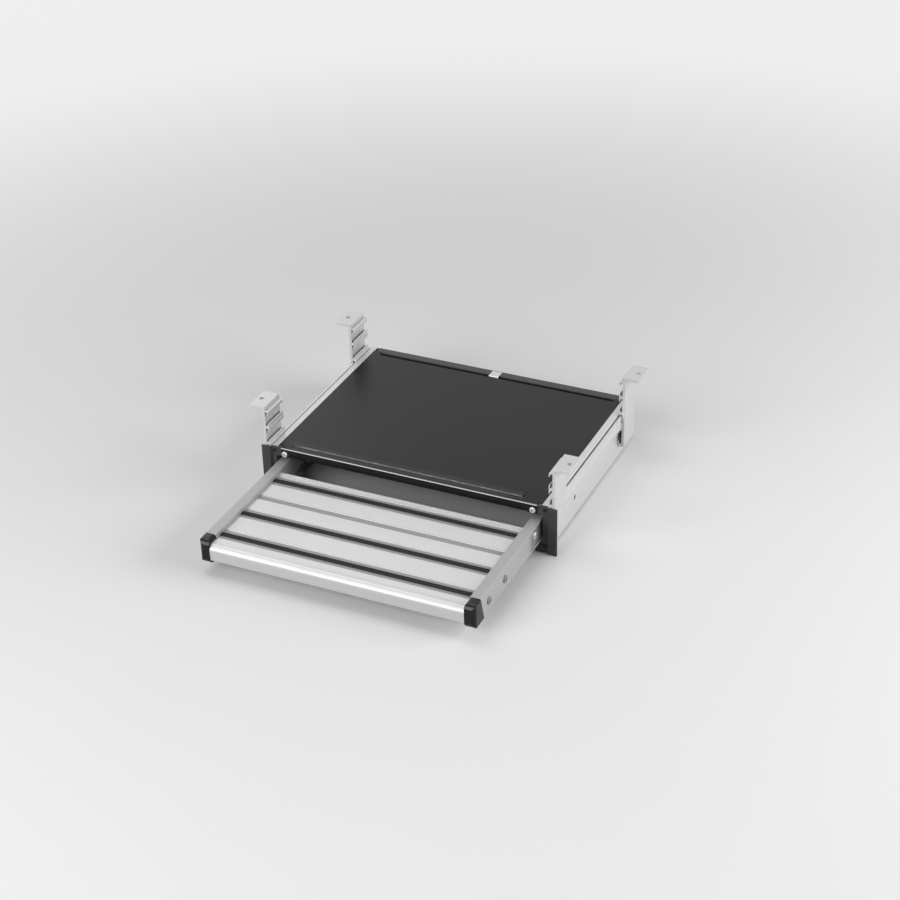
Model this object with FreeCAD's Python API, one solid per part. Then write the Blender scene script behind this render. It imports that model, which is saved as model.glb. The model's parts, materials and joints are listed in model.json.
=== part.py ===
import FreeCAD, Part
import math
import os
from FreeCAD import Vector

# Slide-out entrance step for a motorhome or van, shown pulled out.
# Millimetres. X runs across the step, Y runs back into the housing, Z is up.
# The origin is the centre of the four bolt holes, on the brackets' top faces,
# where the step is bolted under a vehicle floor. Its front points along -Y.

# Overall layout
tread_width = 460.0          # over the outer faces of the two arms
cover_rise = 70.0            # from the cover's top up to the bolting plane
bolt_spacing_x = 533.0
bolt_spacing_y = 308.0
front_bolt_y = 25.0          # from the cover's front fold to the front bolts
rear_overhang = 36.0         # from the rear bolts back to the rails' ends

# Cover sheet
cover_width = 461.8
cover_thickness = 1.5
fold_radius = 2.5
lip_drop = 20.0
lip_straight = 8.0
lip_curl_radius = 13.0
lip_width = 413.0            # the curled middle of the lip
ear_width = 447.0            # over the two flat ears that take the screws
ear_drop = 16.0
relief_depth = 7.0           # corner relief beside the fold
cover_rear_gap = 9.0         # between the cover's rear edge and the crossbar
rear_tab_margin = 3.0        # how far the rear corner tabs overlap the sheet
rear_flange_drop = 7.0
rear_corner_half = 218.5     # outside this the cover runs on to the crossbar
bead_left = -206.0           # left and right ends of the pressed bead
bead_right = 192.5
bead_fade = 4.0
bead_section = ((6.0, 0.0), (9.0, -0.4), (12.0, -0.95), (13.8, -1.1), (15.2, -0.2),
                (16.4, 0.7), (17.8, 0.9), (20.5, 0.55), (24.0, 0.15), (28.0, 0.0))
drain_slot_x = 195.5
drain_slot_width = 4.0
drain_slot_front = 14.0
drain_slot_rear = 28.0

# Side rail extrusion
rail_width = 484.0           # over the outer faces of both rails
rail_height = 81.6
rail_wall = 2.5
rail_edge_radius = 1.5
ledge_reach = 12.0           # the ledge under the cover's side edge
ledge_thickness = 2.2
flange_thickness = 2.6
track_gap = 26.6             # between the two running faces
track_centre = 45.3          # below the cover's top
track_rib = 2.2
track_depth = 8.1            # how far the track ribs reach in from the rail's web
foot_reach = 26.0            # bottom flange, measured from the outer face
foot_thickness = 2.4
head_top = 2.4               # hook strip on the outer face, below the cover's top
head_bottom = 24.2
head_thickness = 3.7
head_gap = 2.8               # slot behind the hook strip
neck_top = 7.0
neck_bottom = 17.0
port_radius = 4.2            # round ports that take the end screws
port_bore = 2.1
port_inset = 6.2             # from the rail's outer face
upper_port_drop = 7.5
lower_port_drop = 73.0
drain_hole_y = 113.9
drain_hole_drop = 47.3
drain_hole_radius = 4.0

# Height-adjusting bracket extrusion
bracket_length = 49.0
bracket_drop = 129.6         # from the bolting plane to the bracket's lower end
bracket_flange_reach = 23.5
bracket_flange_thickness = 4.0
bracket_wall = 4.2
hook_pitch = 30.0
hook_centre = 3.0            # height of one hook pair above the cover's top
hook_bar = 5.2
hook_span = 15.0             # over the two lips of a hook pair
hook_lip = 1.8
hook_radius = 0.7
centre_mark = 0.6            # drill line pressed into the outer face
bolt_hole_radius = 4.2
hook_play = 0.3              # between the bracket and the rail's hook strip

# Front end plates
plate_width = 49.6
plate_height = 85.0
plate_thickness = 2.5
plate_reach = 15.6           # beyond the rail's outer face
plate_top_drop = 0.4
joggle = 3.8                 # the inner part is set back by this much
joggle_run = 3.0
joggle_start = 6.6           # from the window's outer edge
window_top = 16.0
window_bottom = 72.0
window_side = 232.8          # half width over both windows' outer edges
lower_tab_reach = 13.0

# Rear crossbar
crossbar_thickness = 2.0
crossbar_top = 13.0          # from its front lip back to the rail ends
crossbar_top_half = 226.0
crossbar_lip_drop = 9.0
crossbar_foot = 15.0
crossbar_foot_half = 215.0

# Arm extrusion
arm_top = 25.1               # below the cover's top
arm_height = 40.2
arm_width = 16.8
arm_wall = 2.2
arm_edge_radius = 1.0
arm_front_top = 231.0        # in front of the cover's fold
arm_front_bottom = 220.0
arm_rear_top = 52.3          # behind the fold
arm_rear_bottom = 33.7
shelf_reach = 8.0            # shelf that the planks rest on
shelf_thickness = 2.2
shelf_play = 0.2
recess_front = 39.0          # where the arm's outer wall is cut away
recess_edge = 3.5
recess_chamfer = 4.0

# Carriage bar and wheels
bar_thickness = 8.0
bar_front = 75.0
bar_rear = 114.0
bar_corner = 8.0
wheel_radius = 13.0
wheel_width = 7.5
wheel_front_y = 50.0
wheel_spacing = 50.0
axle_radius = 4.0
axle_shoulder_radius = 6.2
axle_head_radius = 5.6
axle_head = 1.2
running_fit = 0.05
side_play = 0.2
support_radius = 6.5
support_width = 10.0
support_y = 22.0
support_shoulder_radius = 5.0
clearance = 0.3

# Tread planks
plank_top = 32.1             # below the cover's top
plank_height = 28.4
plank_wall = 2.0
plank_roof = 3.3
rear_edge_y = 19.5           # in front of the fold
joint_y = 99.3
nose_y = 253.2
nose_radius = 10.0
nose_lean = 1.3              # how far the front face falls back at its foot
nose_foot_radius = 3.0
nose_solid = 9.5             # from the nose back to the first hollow
flute_radius = 0.7           # fine grooves along the nose
flute_angles = (27.0, 52.0)
band_width = 24.4
band_depth = 1.2
joint_band_width = 12.0
grip_width = 8.7
grip_foot = 11.4
grip_mouth = 1.4
grip_depth = 4.2
grip_proud = 0.5
rear_grip_y = 45.5
middle_grip_y = 149.8
front_grip_y = 215.0
front_rib_rows = (120.0, 178.0)
line_inset = 11.2            # from the nose back to the fine groove
fine_pitch = 2.0             # fine ribs on the tread's raised fields
fine_depth = 0.35
fine_land = 0.8              # plain edge beside the fine ribs
rib_thickness = 1.8
tongue_height = 4.0
tongue_depth = 3.0
tongue_drop = 18.0
plank_end_gap = 0.1
line_width = 1.0
line_depth = 0.5

# Corner caps
cap_nose_proud = 1.0         # in front of the planks' nose
cap_proud = 0.7
cap_drop = 67.6
cap_corner_radius = 9.0
cap_foot_radius = 12.0
cap_top_radius = 3.0
cap_inner_radius = 5.0
cap_wall = 2.4
cap_plug = 7.0               # from the arm's lower front corner back
cap_solid = 5.0              # from the cap's front to its hollow

# Stops and screws
stop_length = 12.0
stop_thickness = 6.0
rear_stop_gap = 0.7          # between the rear stops and the crossbar's lip
stop_screw_drop = 42.0
arm_screw_head_radius = 6.2
arm_screw_head = 2.2
arm_screw_radius = 2.5
arm_screw_length = 28.0
arm_screw_rows = (201.3, 140.9)
arm_screw_drop = 46.0
bar_screw_rows = (-18.5, 22.0)
bar_screw_drop = 43.5
bar_screw_radius = 3.0
lip_screw_x = 216.5
lip_screw_drop = 10.3
lip_screw_radius = 2.4
lip_screw_head_radius = 5.0
lip_screw_head = 2.8
end_screw_radius = 2.0
end_screw_head_radius = 2.7
end_screw_head = 1.4
end_screw_length = 12.0
plank_screw_y = 60.0
plank_screw_radius = 2.0
plank_screw_head_radius = 3.6
plank_screw_head = 2.0
plank_screw_length = 9.0
clip_width = 17.4
clip_thickness = 0.9
clip_reach = 18.0
screw_play = 0.1

# Places worked out from the sizes above
housing_depth = front_bolt_y + bolt_spacing_y + rear_overhang
cover_depth = housing_depth - crossbar_top - cover_rear_gap
cover_z = -cover_rise
fold_y = -(front_bolt_y + bolt_spacing_y / 2.0)
rear_bolt_y = front_bolt_y + bolt_spacing_y
cover_half = cover_width / 2.0
rail_half = rail_width / 2.0
web_inner = rail_half - rail_wall
arm_half = tread_width / 2.0
arm_inner = arm_half - arm_width
arm_bottom = arm_top + arm_height
plate_back = cover_thickness + 0.1 + plate_thickness
rail_front = plate_back
bar_outer = arm_half - arm_wall - side_play
bar_inner = bar_outer - bar_thickness
track_inner = web_inner - track_depth
rolling_top = track_centre - track_gap / 2.0
rolling_bottom = track_centre + track_gap / 2.0
wheel_inner = track_inner - side_play
wheel_rear_y = wheel_front_y + wheel_spacing
rear_stop_y = housing_depth - crossbar_top - rear_stop_gap - stop_length
travel = rear_stop_y - clearance - wheel_radius - wheel_rear_y
plank_bottom = plank_top + plank_height
plank_half = arm_inner - plank_end_gap
shelf_top = plank_bottom + shelf_play
shelf_low = shelf_top + shelf_thickness
cap_front = nose_y + cap_nose_proud
hook_face = rail_half + head_gap + head_thickness
bracket_inner = hook_face + hook_play
bracket_outer = bracket_inner + bracket_wall
hook_tip = rail_half + head_gap - hook_play - hook_lip
support_drop = arm_bottom + clearance + support_radius


def at(x, y, z):
    # A point given from the cover's fold, at mid-width and at the cover's top
    return Vector(x, fold_y + y, cover_z + z)


def rounded_edges(points, place):
    # Closed outline: each point is (a, b) or (a, b, corner radius)
    count = len(points)
    starts = []
    ends = []
    middles = []
    for i in range(count):
        corner = Vector(points[i][0], points[i][1], 0)
        before = Vector(points[i - 1][0], points[i - 1][1], 0) - corner
        after = Vector(points[(i + 1) % count][0], points[(i + 1) % count][1], 0) - corner
        radius = points[i][2] if len(points[i]) > 2 else 0.0
        half_turn = before.getAngle(after) / 2.0
        run = radius / math.tan(half_turn) if radius > 0 else 0.0
        share_before = 0.49 if len(points[i - 1]) > 2 else 0.98
        share_after = 0.49 if len(points[(i + 1) % count]) > 2 else 0.98
        longest = min(share_before * before.Length, share_after * after.Length)
        if run > longest:
            radius = radius * longest / run
            run = longest
        to_before = Vector(before).normalize()
        to_after = Vector(after).normalize()
        starts.append(corner + to_before * run)
        ends.append(corner + to_after * run)
        if radius > 0:
            inward = (to_before + to_after).normalize()
            middles.append(corner + inward * (radius / math.sin(half_turn) - radius))
        else:
            middles.append(None)
    edges = []
    for i in range(count):
        if middles[i] is not None:
            arc = Part.Arc(place(starts[i]), place(middles[i]), place(ends[i]))
            edges.append(arc.toShape())
        line = Part.LineSegment(place(ends[i]), place(starts[(i + 1) % count]))
        edges.append(line.toShape())
    return edges


def along_y(points, y_from, y_to):
    # Extrusion along Y of an outline in X and Z
    edges = rounded_edges(points, lambda p: at(p.x, y_from, p.y))
    return Part.Face(Part.Wire(edges)).extrude(Vector(0, y_to - y_from, 0))


def along_x(points, x_from, x_to):
    # Extrusion along X of an outline in Y and Z
    edges = rounded_edges(points, lambda p: at(x_from, p.x, p.y))
    return Part.Face(Part.Wire(edges)).extrude(Vector(x_to - x_from, 0, 0))


def along_z(points, z_from, z_to):
    # Extrusion along Z of an outline in X and Y
    edges = rounded_edges(points, lambda p: at(p.x, p.y, z_from))
    return Part.Face(Part.Wire(edges)).extrude(Vector(0, 0, z_to - z_from))


def block(x_from, x_to, y_from, y_to, z_from, z_to):
    corner = at(min(x_from, x_to), min(y_from, y_to), min(z_from, z_to))
    return Part.makeBox(abs(x_to - x_from), abs(y_to - y_from), abs(z_to - z_from), corner)


def rod_x(x_from, x_to, y, z, radius):
    return Part.makeCylinder(radius, x_to - x_from, at(x_from, y, z), Vector(1, 0, 0))


def rod_y(x, y_from, y_to, z, radius):
    return Part.makeCylinder(radius, y_to - y_from, at(x, y_from, z), Vector(0, 1, 0))


def rod_z(x, y, z_from, z_to, radius):
    return Part.makeCylinder(radius, z_to - z_from, at(x, y, z_from), Vector(0, 0, 1))


def turned_x(steps, y, z):
    # Turned piece about an X axis: steps are (x, radius) pairs along it
    points = [(steps[0][0], 0.0)] + list(steps) + [(steps[-1][0], 0.0)]
    edges = rounded_edges(points, lambda p: at(p.x, y, z + p.y))
    face = Part.Face(Part.Wire(edges))
    return face.revolve(at(0, y, z), Vector(1, 0, 0), 360)


def mirrored(shape):
    return shape.mirror(Vector(0, 0, 0), Vector(1, 0, 0))


def pair(shape):
    return Part.makeCompound([shape, mirrored(shape)])


def one_solid(shape):
    # Merges faces that lie in one surface and unwraps a lone solid
    merged = shape.removeSplitter()
    if len(merged.Solids) == 1:
        return merged.Solids[0]
    return merged


def cross_recess(head_face, centre_y, centre_z, reach, depth, toward):
    # Cross slot cut into a screw head whose axis lies along X
    arm = reach / 3.5
    near = min(head_face, head_face - toward * depth)
    upright = Part.makeBox(depth, arm, 2 * reach, at(near, centre_y - arm / 2, centre_z - reach))
    flat = Part.makeBox(depth, 2 * reach, arm, at(near, centre_y - reach, centre_z - arm / 2))
    return upright.fuse(flat)


# Side rail: one extrusion with a ledge for the cover, a roller track inside,
# two screw ports, a foot, and the hook strip that carries the brackets.
def side_rail():
    ledge_top = -(cover_thickness + 0.1)
    ledge_bottom = ledge_top - ledge_thickness
    inner_edge = cover_half + 0.1
    head_inner = rail_half + head_gap
    face_step = 0.5
    outline = [
        (inner_edge, 0.0),
        (rail_half, 0.0, rail_edge_radius),
        (rail_half, -neck_top),
        (head_inner, -neck_top),
        (head_inner, -head_top),
        (hook_face, -head_top, 0.6),
        (hook_face, -head_top - 2.6),
        (hook_face - face_step, -head_top - 2.6 - face_step),
        (hook_face - face_step, -neck_bottom + 1.3 + face_step),
        (hook_face, -neck_bottom + 1.3),
        (hook_face, -head_bottom, 0.6),
        (head_inner, -head_bottom),
        (head_inner, -neck_bottom),
        (rail_half, -neck_bottom),
        (rail_half, -rail_height, 0.8),
        (rail_half - foot_reach, -rail_height, 0.8),
        (rail_half - foot_reach, -rail_height + foot_thickness),
        (web_inner, -rail_height + foot_thickness),
        (web_inner, -rolling_bottom - track_rib),
        (track_inner, -rolling_bottom - track_rib, 0.6),
        (track_inner, -rolling_bottom, 0.6),
        (web_inner, -rolling_bottom),
        (web_inner, -rolling_top),
        (track_inner, -rolling_top, 0.6),
        (track_inner, -rolling_top + track_rib, 0.6),
        (web_inner, -rolling_top + track_rib),
        (web_inner, -flange_thickness),
        (inner_edge + ledge_thickness, -flange_thickness),
        (inner_edge + ledge_thickness, ledge_bottom),
        (inner_edge - ledge_reach, ledge_bottom),
        (inner_edge - ledge_reach, ledge_top),
        (inner_edge, ledge_top),
    ]
    rail = along_y(outline, rail_front, housing_depth)
    port_x = rail_half - port_inset
    for drop in (upper_port_drop, lower_port_drop):
        port = rod_y(port_x, rail_front, housing_depth, -drop, port_radius)
        rail = rail.fuse(port)
    for drop in (upper_port_drop, lower_port_drop):
        rail = rail.cut(rod_y(port_x, rail_front - 1, housing_depth + 1, -drop, port_bore))
    lip = housing_depth - crossbar_top - clearance
    ledge_inner = inner_edge - ledge_reach - 1
    rail = rail.cut(block(ledge_inner, inner_edge, lip, housing_depth + 1, 1, ledge_bottom - 1))
    rail = rail.cut(rod_x(web_inner - 1, rail_half + 1, drain_hole_y, -drain_hole_drop, drain_hole_radius))
    axle_hole = axle_radius + screw_play
    rail = rail.cut(rod_x(web_inner - 1, rail_half + 1, support_y, -support_drop, axle_hole))
    shoulder_hole = support_shoulder_radius + clearance
    rail = rail.cut(rod_x(track_inner - 1, web_inner, support_y, -support_drop, shoulder_hole))
    radius = end_screw_radius + screw_play
    for y in stop_places():
        middle = y + stop_length / 2
        rail = rail.cut(rod_x(web_inner - 1, rail_half + 1, middle, -stop_screw_drop, radius))
    return one_solid(rail)


def stop_places():
    # Front faces of the two stop blocks that end the wheels' travel
    front = wheel_front_y - wheel_radius - clearance - stop_length
    return (front, rear_stop_y)


# Stop block: sits in the track against the rail's web
def stop_blocks():
    inner = web_inner - stop_thickness
    height = clearance / 2
    blocks = []
    for y in stop_places():
        outline = [
            (y, -rolling_bottom + height, 2.0),
            (y + stop_length, -rolling_bottom + height, 2.0),
            (y + stop_length, -rolling_top - height, 2.0),
            (y, -rolling_top - height, 2.0),
        ]
        body = along_x(outline, inner, web_inner)
        middle = y + stop_length / 2
        radius = end_screw_radius + screw_play
        blocks.append(body.cut(rod_x(inner + 1.5, web_inner + 1, middle, -stop_screw_drop, radius)))
    return blocks


def stop_screws():
    screws = []
    for y in stop_places():
        middle = y + stop_length / 2
        steps = [
            (web_inner - stop_thickness + 1.8, end_screw_radius),
            (rail_half, end_screw_radius),
            (rail_half, end_screw_head_radius + 0.8),
            (rail_half + end_screw_head, end_screw_head_radius + 0.8, 0.6),
        ]
        screws.append(turned_x(steps, middle, -stop_screw_drop))
    return screws


# Cover: pressed sheet with a long bead, a folded lip and two screw ears
def bead_wire(x, share):
    # Section of the sheet across the bead, with the given share of its height
    upper = [at(x, y, z * share) for y, z in bead_section]
    lower = [p - Vector(0, 0, cover_thickness) for p in reversed(upper)]
    edges = []
    for points in (upper, lower):
        curve = Part.BSplineCurve()
        curve.interpolate(points)
        edges.append(curve.toShape())
    front = Part.LineSegment(lower[-1], upper[0]).toShape()
    rear = Part.LineSegment(upper[-1], lower[0]).toShape()
    return Part.Wire([edges[0], rear, edges[1], front])


def pressed_bead():
    middle = Part.Face(bead_wire(bead_left, 1.0)).extrude(Vector(bead_right - bead_left, 0, 0))
    left = Part.makeLoft([bead_wire(bead_left - bead_fade, 0.0), bead_wire(bead_left, 1.0)], True, True)
    right = Part.makeLoft([bead_wire(bead_right, 1.0), bead_wire(bead_right + bead_fade, 0.0)], True, True)
    return middle.fuse(left).fuse(right)


def cover_plate():
    outline = [
        (0.0, 0.0, fold_radius),
        (cover_depth, 0.0, 2.0),
        (cover_depth, -rear_flange_drop),
        (cover_depth - cover_thickness, -rear_flange_drop),
        (cover_depth - cover_thickness, -cover_thickness, 0.5),
        (cover_thickness, -cover_thickness, fold_radius - cover_thickness),
        (cover_thickness, -lip_straight),
        (0.0, -lip_straight),
    ]
    sheet = along_x(outline, -cover_half, cover_half)
    for side in (-1, 1):
        outer = side * (cover_half + 1)
        sheet = sheet.cut(block(side * ear_width / 2, outer, -1, relief_depth, 1, -lip_straight - 1))
        flange_rear = cover_depth + 1
        tab_front = cover_depth - rear_tab_margin
        tab_rear = housing_depth - crossbar_top - clearance
        below_flange = -rear_flange_drop - 1
        sheet = sheet.cut(block(side * rear_corner_half, outer, tab_front, flange_rear, 1, below_flange))
        flange_end = cover_half + 0.1 - ledge_reach - clearance
        sheet = sheet.cut(block(side * flange_end, outer, tab_front, flange_rear,
                                -cover_thickness, below_flange))
        tab = block(side * rear_corner_half, side * cover_half, tab_front, tab_rear, -cover_thickness, 0)
        sheet = sheet.fuse(tab)
        ear = block(side * lip_width / 2, side * ear_width / 2, 0, cover_thickness, -ear_drop, -lip_straight)
        sheet = sheet.fuse(ear)
    turn = math.asin((lip_drop - lip_straight) / lip_curl_radius)
    inner_radius = lip_curl_radius - cover_thickness

    def curl_point(radius, angle):
        y = lip_curl_radius - radius * math.cos(angle)
        return at(-lip_width / 2, y, -lip_straight - radius * math.sin(angle))

    outer_arc = Part.Arc(curl_point(lip_curl_radius, 0), curl_point(lip_curl_radius, turn / 2),
                         curl_point(lip_curl_radius, turn))
    inner_arc = Part.Arc(curl_point(inner_radius, turn), curl_point(inner_radius, turn / 2),
                         curl_point(inner_radius, 0))
    end = Part.LineSegment(curl_point(lip_curl_radius, turn), curl_point(inner_radius, turn))
    start = Part.LineSegment(curl_point(inner_radius, 0), curl_point(lip_curl_radius, 0))
    wire = Part.Wire([outer_arc.toShape(), end.toShape(), inner_arc.toShape(), start.toShape()])
    curl = Part.Face(wire).extrude(Vector(lip_width, 0, 0))
    sheet = sheet.fuse(curl)
    first = bead_section[0][0]
    last = bead_section[-1][0]
    left = bead_left - bead_fade
    right = bead_right + bead_fade
    sheet = sheet.cut(block(left, right, first, last, 1, -cover_thickness - 1))
    sheet = sheet.fuse(pressed_bead())
    end = drain_slot_width / 2
    slot = [
        (drain_slot_x - end, drain_slot_front, 1.9),
        (drain_slot_x + end, drain_slot_front, 1.9),
        (drain_slot_x + end, drain_slot_rear, 1.9),
        (drain_slot_x - end, drain_slot_rear, 1.9),
    ]
    sheet = sheet.cut(along_z(slot, -5, 3))
    radius = lip_screw_radius + screw_play
    for side in (-1, 1):
        sheet = sheet.cut(rod_y(side * lip_screw_x, -1, cover_thickness + 1, -lip_screw_drop, radius))
    return one_solid(sheet)


# Front end plate: folded sheet with a joggle and an open window for the arm
def end_plate():
    front = cover_thickness + 0.1
    outer = rail_half + plate_reach
    inner = outer - plate_width
    bend = window_side + joggle_start
    outline = [
        (inner, front),
        (bend, front, 2.0),
        (bend + joggle_run, front - joggle, 2.0),
        (outer, front - joggle),
        (outer, front - joggle + plate_thickness),
        (bend + joggle_run, front - joggle + plate_thickness, 2.0),
        (bend, front + plate_thickness, 2.0),
        (inner, front + plate_thickness),
    ]
    plate = along_z(outline, -plate_height, -plate_top_drop)
    below_fold = cover_thickness + clearance + 1.0
    under_cover = ear_width / 2 + clearance
    plate = plate.cut(block(inner - 1, under_cover, -5, plate_back + 1, 1, -below_fold))
    window = [
        (inner - 1, -window_top),
        (window_side, -window_top, 3.0),
        (window_side, -window_bottom, 3.0),
        (window_side - lower_tab_reach, -window_bottom, 1.0),
        (window_side - lower_tab_reach, -plate_height - 1),
        (inner - 1, -plate_height - 1),
    ]
    plate = plate.cut(along_y(window, front - joggle - 1, plate_back + 1))
    port_x = rail_half - port_inset
    for drop in (upper_port_drop, lower_port_drop):
        plate = plate.cut(rod_y(port_x, -2, plate_back + 1, -drop, end_screw_radius + screw_play))
    plate = plate.cut(rod_y(lip_screw_x, -2, plate_back + 1, -lip_screw_drop, lip_screw_radius + screw_play))
    return one_solid(plate)


# Rear crossbar: folded sheet that closes the housing and ties the rails
def rear_crossbar():
    y = housing_depth
    thick = crossbar_thickness
    lip = y - crossbar_top
    outline = [
        (y + thick, 0.0, thick),
        (y + thick, -rail_height, thick),
        (y - crossbar_foot, -rail_height),
        (y - crossbar_foot, -rail_height + thick),
        (y, -rail_height + thick, 0.5),
        (y, -thick, 0.5),
        (lip + thick, -thick, 0.5),
        (lip + thick, -crossbar_lip_drop),
        (lip, -crossbar_lip_drop),
        (lip, 0.0, thick),
    ]
    bar = along_x(outline, -rail_half, rail_half)
    for side in (-1, 1):
        outer = side * (rail_half + 1)
        bar = bar.cut(block(side * crossbar_top_half, outer, 0, y, 1, -rail_height / 2))
        bar = bar.cut(block(side * crossbar_top_half, outer, 0, y + thick + 1, 1, -thick))
        bar = bar.cut(block(side * crossbar_foot_half, outer, 0, y, -rail_height / 2, -rail_height - 1))
        port_x = side * (rail_half - port_inset)
        for drop in (upper_port_drop, lower_port_drop):
            bar = bar.cut(rod_y(port_x, y - 1, y + thick + 1, -drop, end_screw_radius + screw_play))
    return one_solid(bar)


# Clip over the crossbar's front lip, against the cover's rear edge
def cover_clip():
    rear = housing_depth - 2.0
    front = rear - clip_reach
    lip_rear = housing_depth - crossbar_top + crossbar_thickness
    low = -crossbar_lip_drop - 0.1
    thick = clip_thickness
    outline = [
        (rear, 0.0),
        (rear, thick, 0.4),
        (front, thick, thick + 0.6),
        (front, low - thick, 1.5),
        (lip_rear + 0.1 + thick, low - thick, 1.0),
        (lip_rear + 0.1 + thick, low + 4.0),
        (lip_rear + 0.1, low + 4.0),
        (lip_rear + 0.1, low, 0.3),
        (front + thick, low, 0.6),
        (front + thick, 0.0, 0.6),
    ]
    return along_x(outline, -clip_width / 2, clip_width / 2)


# Bracket: one extrusion whose hooks take the rail's hook strip at four heights
def bracket(bolt_y):
    top = cover_rise
    low = top - bracket_drop
    half_bar = hook_bar / 2
    half_span = hook_span / 2
    lip_back = hook_tip + hook_lip
    outline = [
        (bracket_inner, top, 0.6),
        (bracket_outer + bracket_flange_reach, top, 0.8),
        (bracket_outer + bracket_flange_reach, top - bracket_flange_thickness, 0.8),
        (bracket_outer, top - bracket_flange_thickness, 2.5),
    ]
    marks = [hook_centre + hook_pitch * (k + 0.5) for k in (1, 0, -1, -2)]
    for z in marks:
        outline.append((bracket_outer, z + centre_mark))
        outline.append((bracket_outer - centre_mark, z))
        outline.append((bracket_outer, z - centre_mark))
    outline.append((bracket_outer, low, 0.6))
    outline.append((hook_tip, low, hook_radius))
    bottom_bar = hook_centre - 2 * hook_pitch
    outline.append((hook_tip, bottom_bar + half_span, hook_radius))
    outline.append((lip_back, bottom_bar + half_span, hook_radius))
    outline.append((lip_back, bottom_bar + half_bar))
    outline.append((bracket_inner, bottom_bar + half_bar))
    for k in (-1, 0, 1):
        z = hook_centre + hook_pitch * k
        outline.append((bracket_inner, z - half_bar))
        outline.append((lip_back, z - half_bar))
        outline.append((lip_back, z - half_span, hook_radius))
        outline.append((hook_tip, z - half_span, hook_radius))
        outline.append((hook_tip, z - hook_radius))
        outline.append((hook_tip + hook_radius, z))
        outline.append((hook_tip, z + hook_radius))
        outline.append((hook_tip, z + half_span, hook_radius))
        outline.append((lip_back, z + half_span, hook_radius))
        outline.append((lip_back, z + half_bar))
        outline.append((bracket_inner, z + half_bar))
    top_hook = hook_centre + 2 * hook_pitch
    outline.append((bracket_inner, top_hook - half_bar))
    outline.append((lip_back, top_hook - half_bar))
    outline.append((lip_back, top_hook - half_span, hook_radius))
    outline.append((hook_tip, top_hook - half_span, hook_radius))
    outline.append((hook_tip, top_hook - hook_radius, 1.5))
    outline.append((bracket_inner, top_hook))
    start = bolt_y - bracket_length / 2
    body = along_y(outline, start, start + bracket_length)
    hole = rod_z(bolt_spacing_x / 2, bolt_y, top - bracket_flange_thickness - 1, top + 1, bolt_hole_radius)
    return body.cut(hole)


# Arm: box extrusion with a shelf for the planks, cut on a slant at the rear
def arm_front_y(z):
    # The arm's slanted front end at one height
    slope = (arm_front_top - arm_front_bottom) / arm_height
    return -arm_front_top - (arm_top + z) * slope


def arm():
    outline = [
        (arm_inner, -arm_top, 0.4),
        (arm_half, -arm_top, arm_edge_radius),
        (arm_half, -arm_bottom, arm_edge_radius),
        (arm_inner, -arm_bottom, arm_edge_radius),
        (arm_inner, -shelf_low),
        (arm_inner - shelf_reach, -shelf_low, 0.5),
        (arm_inner - shelf_reach, -shelf_top, 0.5),
        (arm_inner, -shelf_top),
    ]
    hollow = [
        (arm_inner + arm_wall, -arm_top - arm_wall),
        (arm_half - arm_wall, -arm_top - arm_wall),
        (arm_half - arm_wall, -arm_bottom + arm_wall),
        (arm_inner + arm_wall, -arm_bottom + arm_wall),
    ]
    body = along_y(outline, -arm_front_top, arm_rear_top)
    body = body.cut(along_y(hollow, -arm_front_top - 1, arm_rear_top + 1))
    high = -arm_top + 1
    low = -arm_bottom - 1
    front = [
        (arm_front_y(high), high),
        (arm_front_y(low), low),
        (-arm_front_top - 5, low),
        (-arm_front_top - 5, high),
    ]
    body = body.cut(along_x(front, arm_inner - shelf_reach - 1, arm_half + 1))
    slant = [
        (arm_rear_top, -arm_top),
        (arm_rear_top + 5, -arm_top),
        (arm_rear_top + 5, -arm_bottom - 1),
        (arm_rear_bottom, -arm_bottom - 1),
        (arm_rear_bottom, -arm_bottom),
    ]
    body = body.cut(along_x(slant, arm_inner - shelf_reach - 1, arm_half + 1))
    recess = [
        (-recess_front, -arm_bottom + recess_edge),
        (-recess_front, -arm_top - recess_edge - recess_chamfer),
        (-recess_front + recess_chamfer, -arm_top - recess_edge),
        (arm_rear_top + 5, -arm_top - recess_edge),
        (arm_rear_top + 5, -arm_bottom + recess_edge),
    ]
    body = body.cut(along_x(recess, bar_outer, arm_half + 1))
    for y in arm_screw_rows:
        radius = arm_screw_radius + screw_play
        body = body.cut(rod_x(arm_inner - 1, arm_half + 1, -y, -arm_screw_drop, radius))
    for y in bar_screw_rows:
        radius = bar_screw_radius + screw_play
        body = body.cut(rod_x(arm_inner + 0.7, bar_inner, y, -bar_screw_drop, radius))
    shelf_x = arm_inner - shelf_reach / 2
    radius = plank_screw_radius + screw_play
    body = body.cut(rod_z(shelf_x, -plank_screw_y, -shelf_low - 1, -shelf_top + 1, radius))
    return one_solid(body)


# Screws through the arm into the front plank's ports
def arm_screws():
    screws = []
    for y in arm_screw_rows:
        steps = [
            (arm_half - arm_screw_length, arm_screw_radius, 0.5),
            (arm_half, arm_screw_radius),
            (arm_half, arm_screw_head_radius),
            (arm_half + arm_screw_head, arm_screw_head_radius, 1.4),
        ]
        screw = turned_x(steps, -y, -arm_screw_drop)
        recess = cross_recess(arm_half + arm_screw_head, -y, -arm_screw_drop, 3.2, 1.2, 1)
        screws.append(screw.cut(recess))
    return screws


# Screws that hold the carriage bar inside the arm
def bar_screws():
    screws = []
    for y in bar_screw_rows:
        steps = [
            (arm_inner + 1.0, bar_screw_radius),
            (bar_outer, bar_screw_radius),
            (bar_outer, arm_screw_head_radius),
            (bar_outer + arm_screw_head, arm_screw_head_radius, 1.4),
        ]
        screw = turned_x(steps, y, -bar_screw_drop)
        recess = cross_recess(bar_outer + arm_screw_head, y, -bar_screw_drop, 3.2, 1.2, 1)
        screws.append(screw.cut(recess))
    return screws


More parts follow.
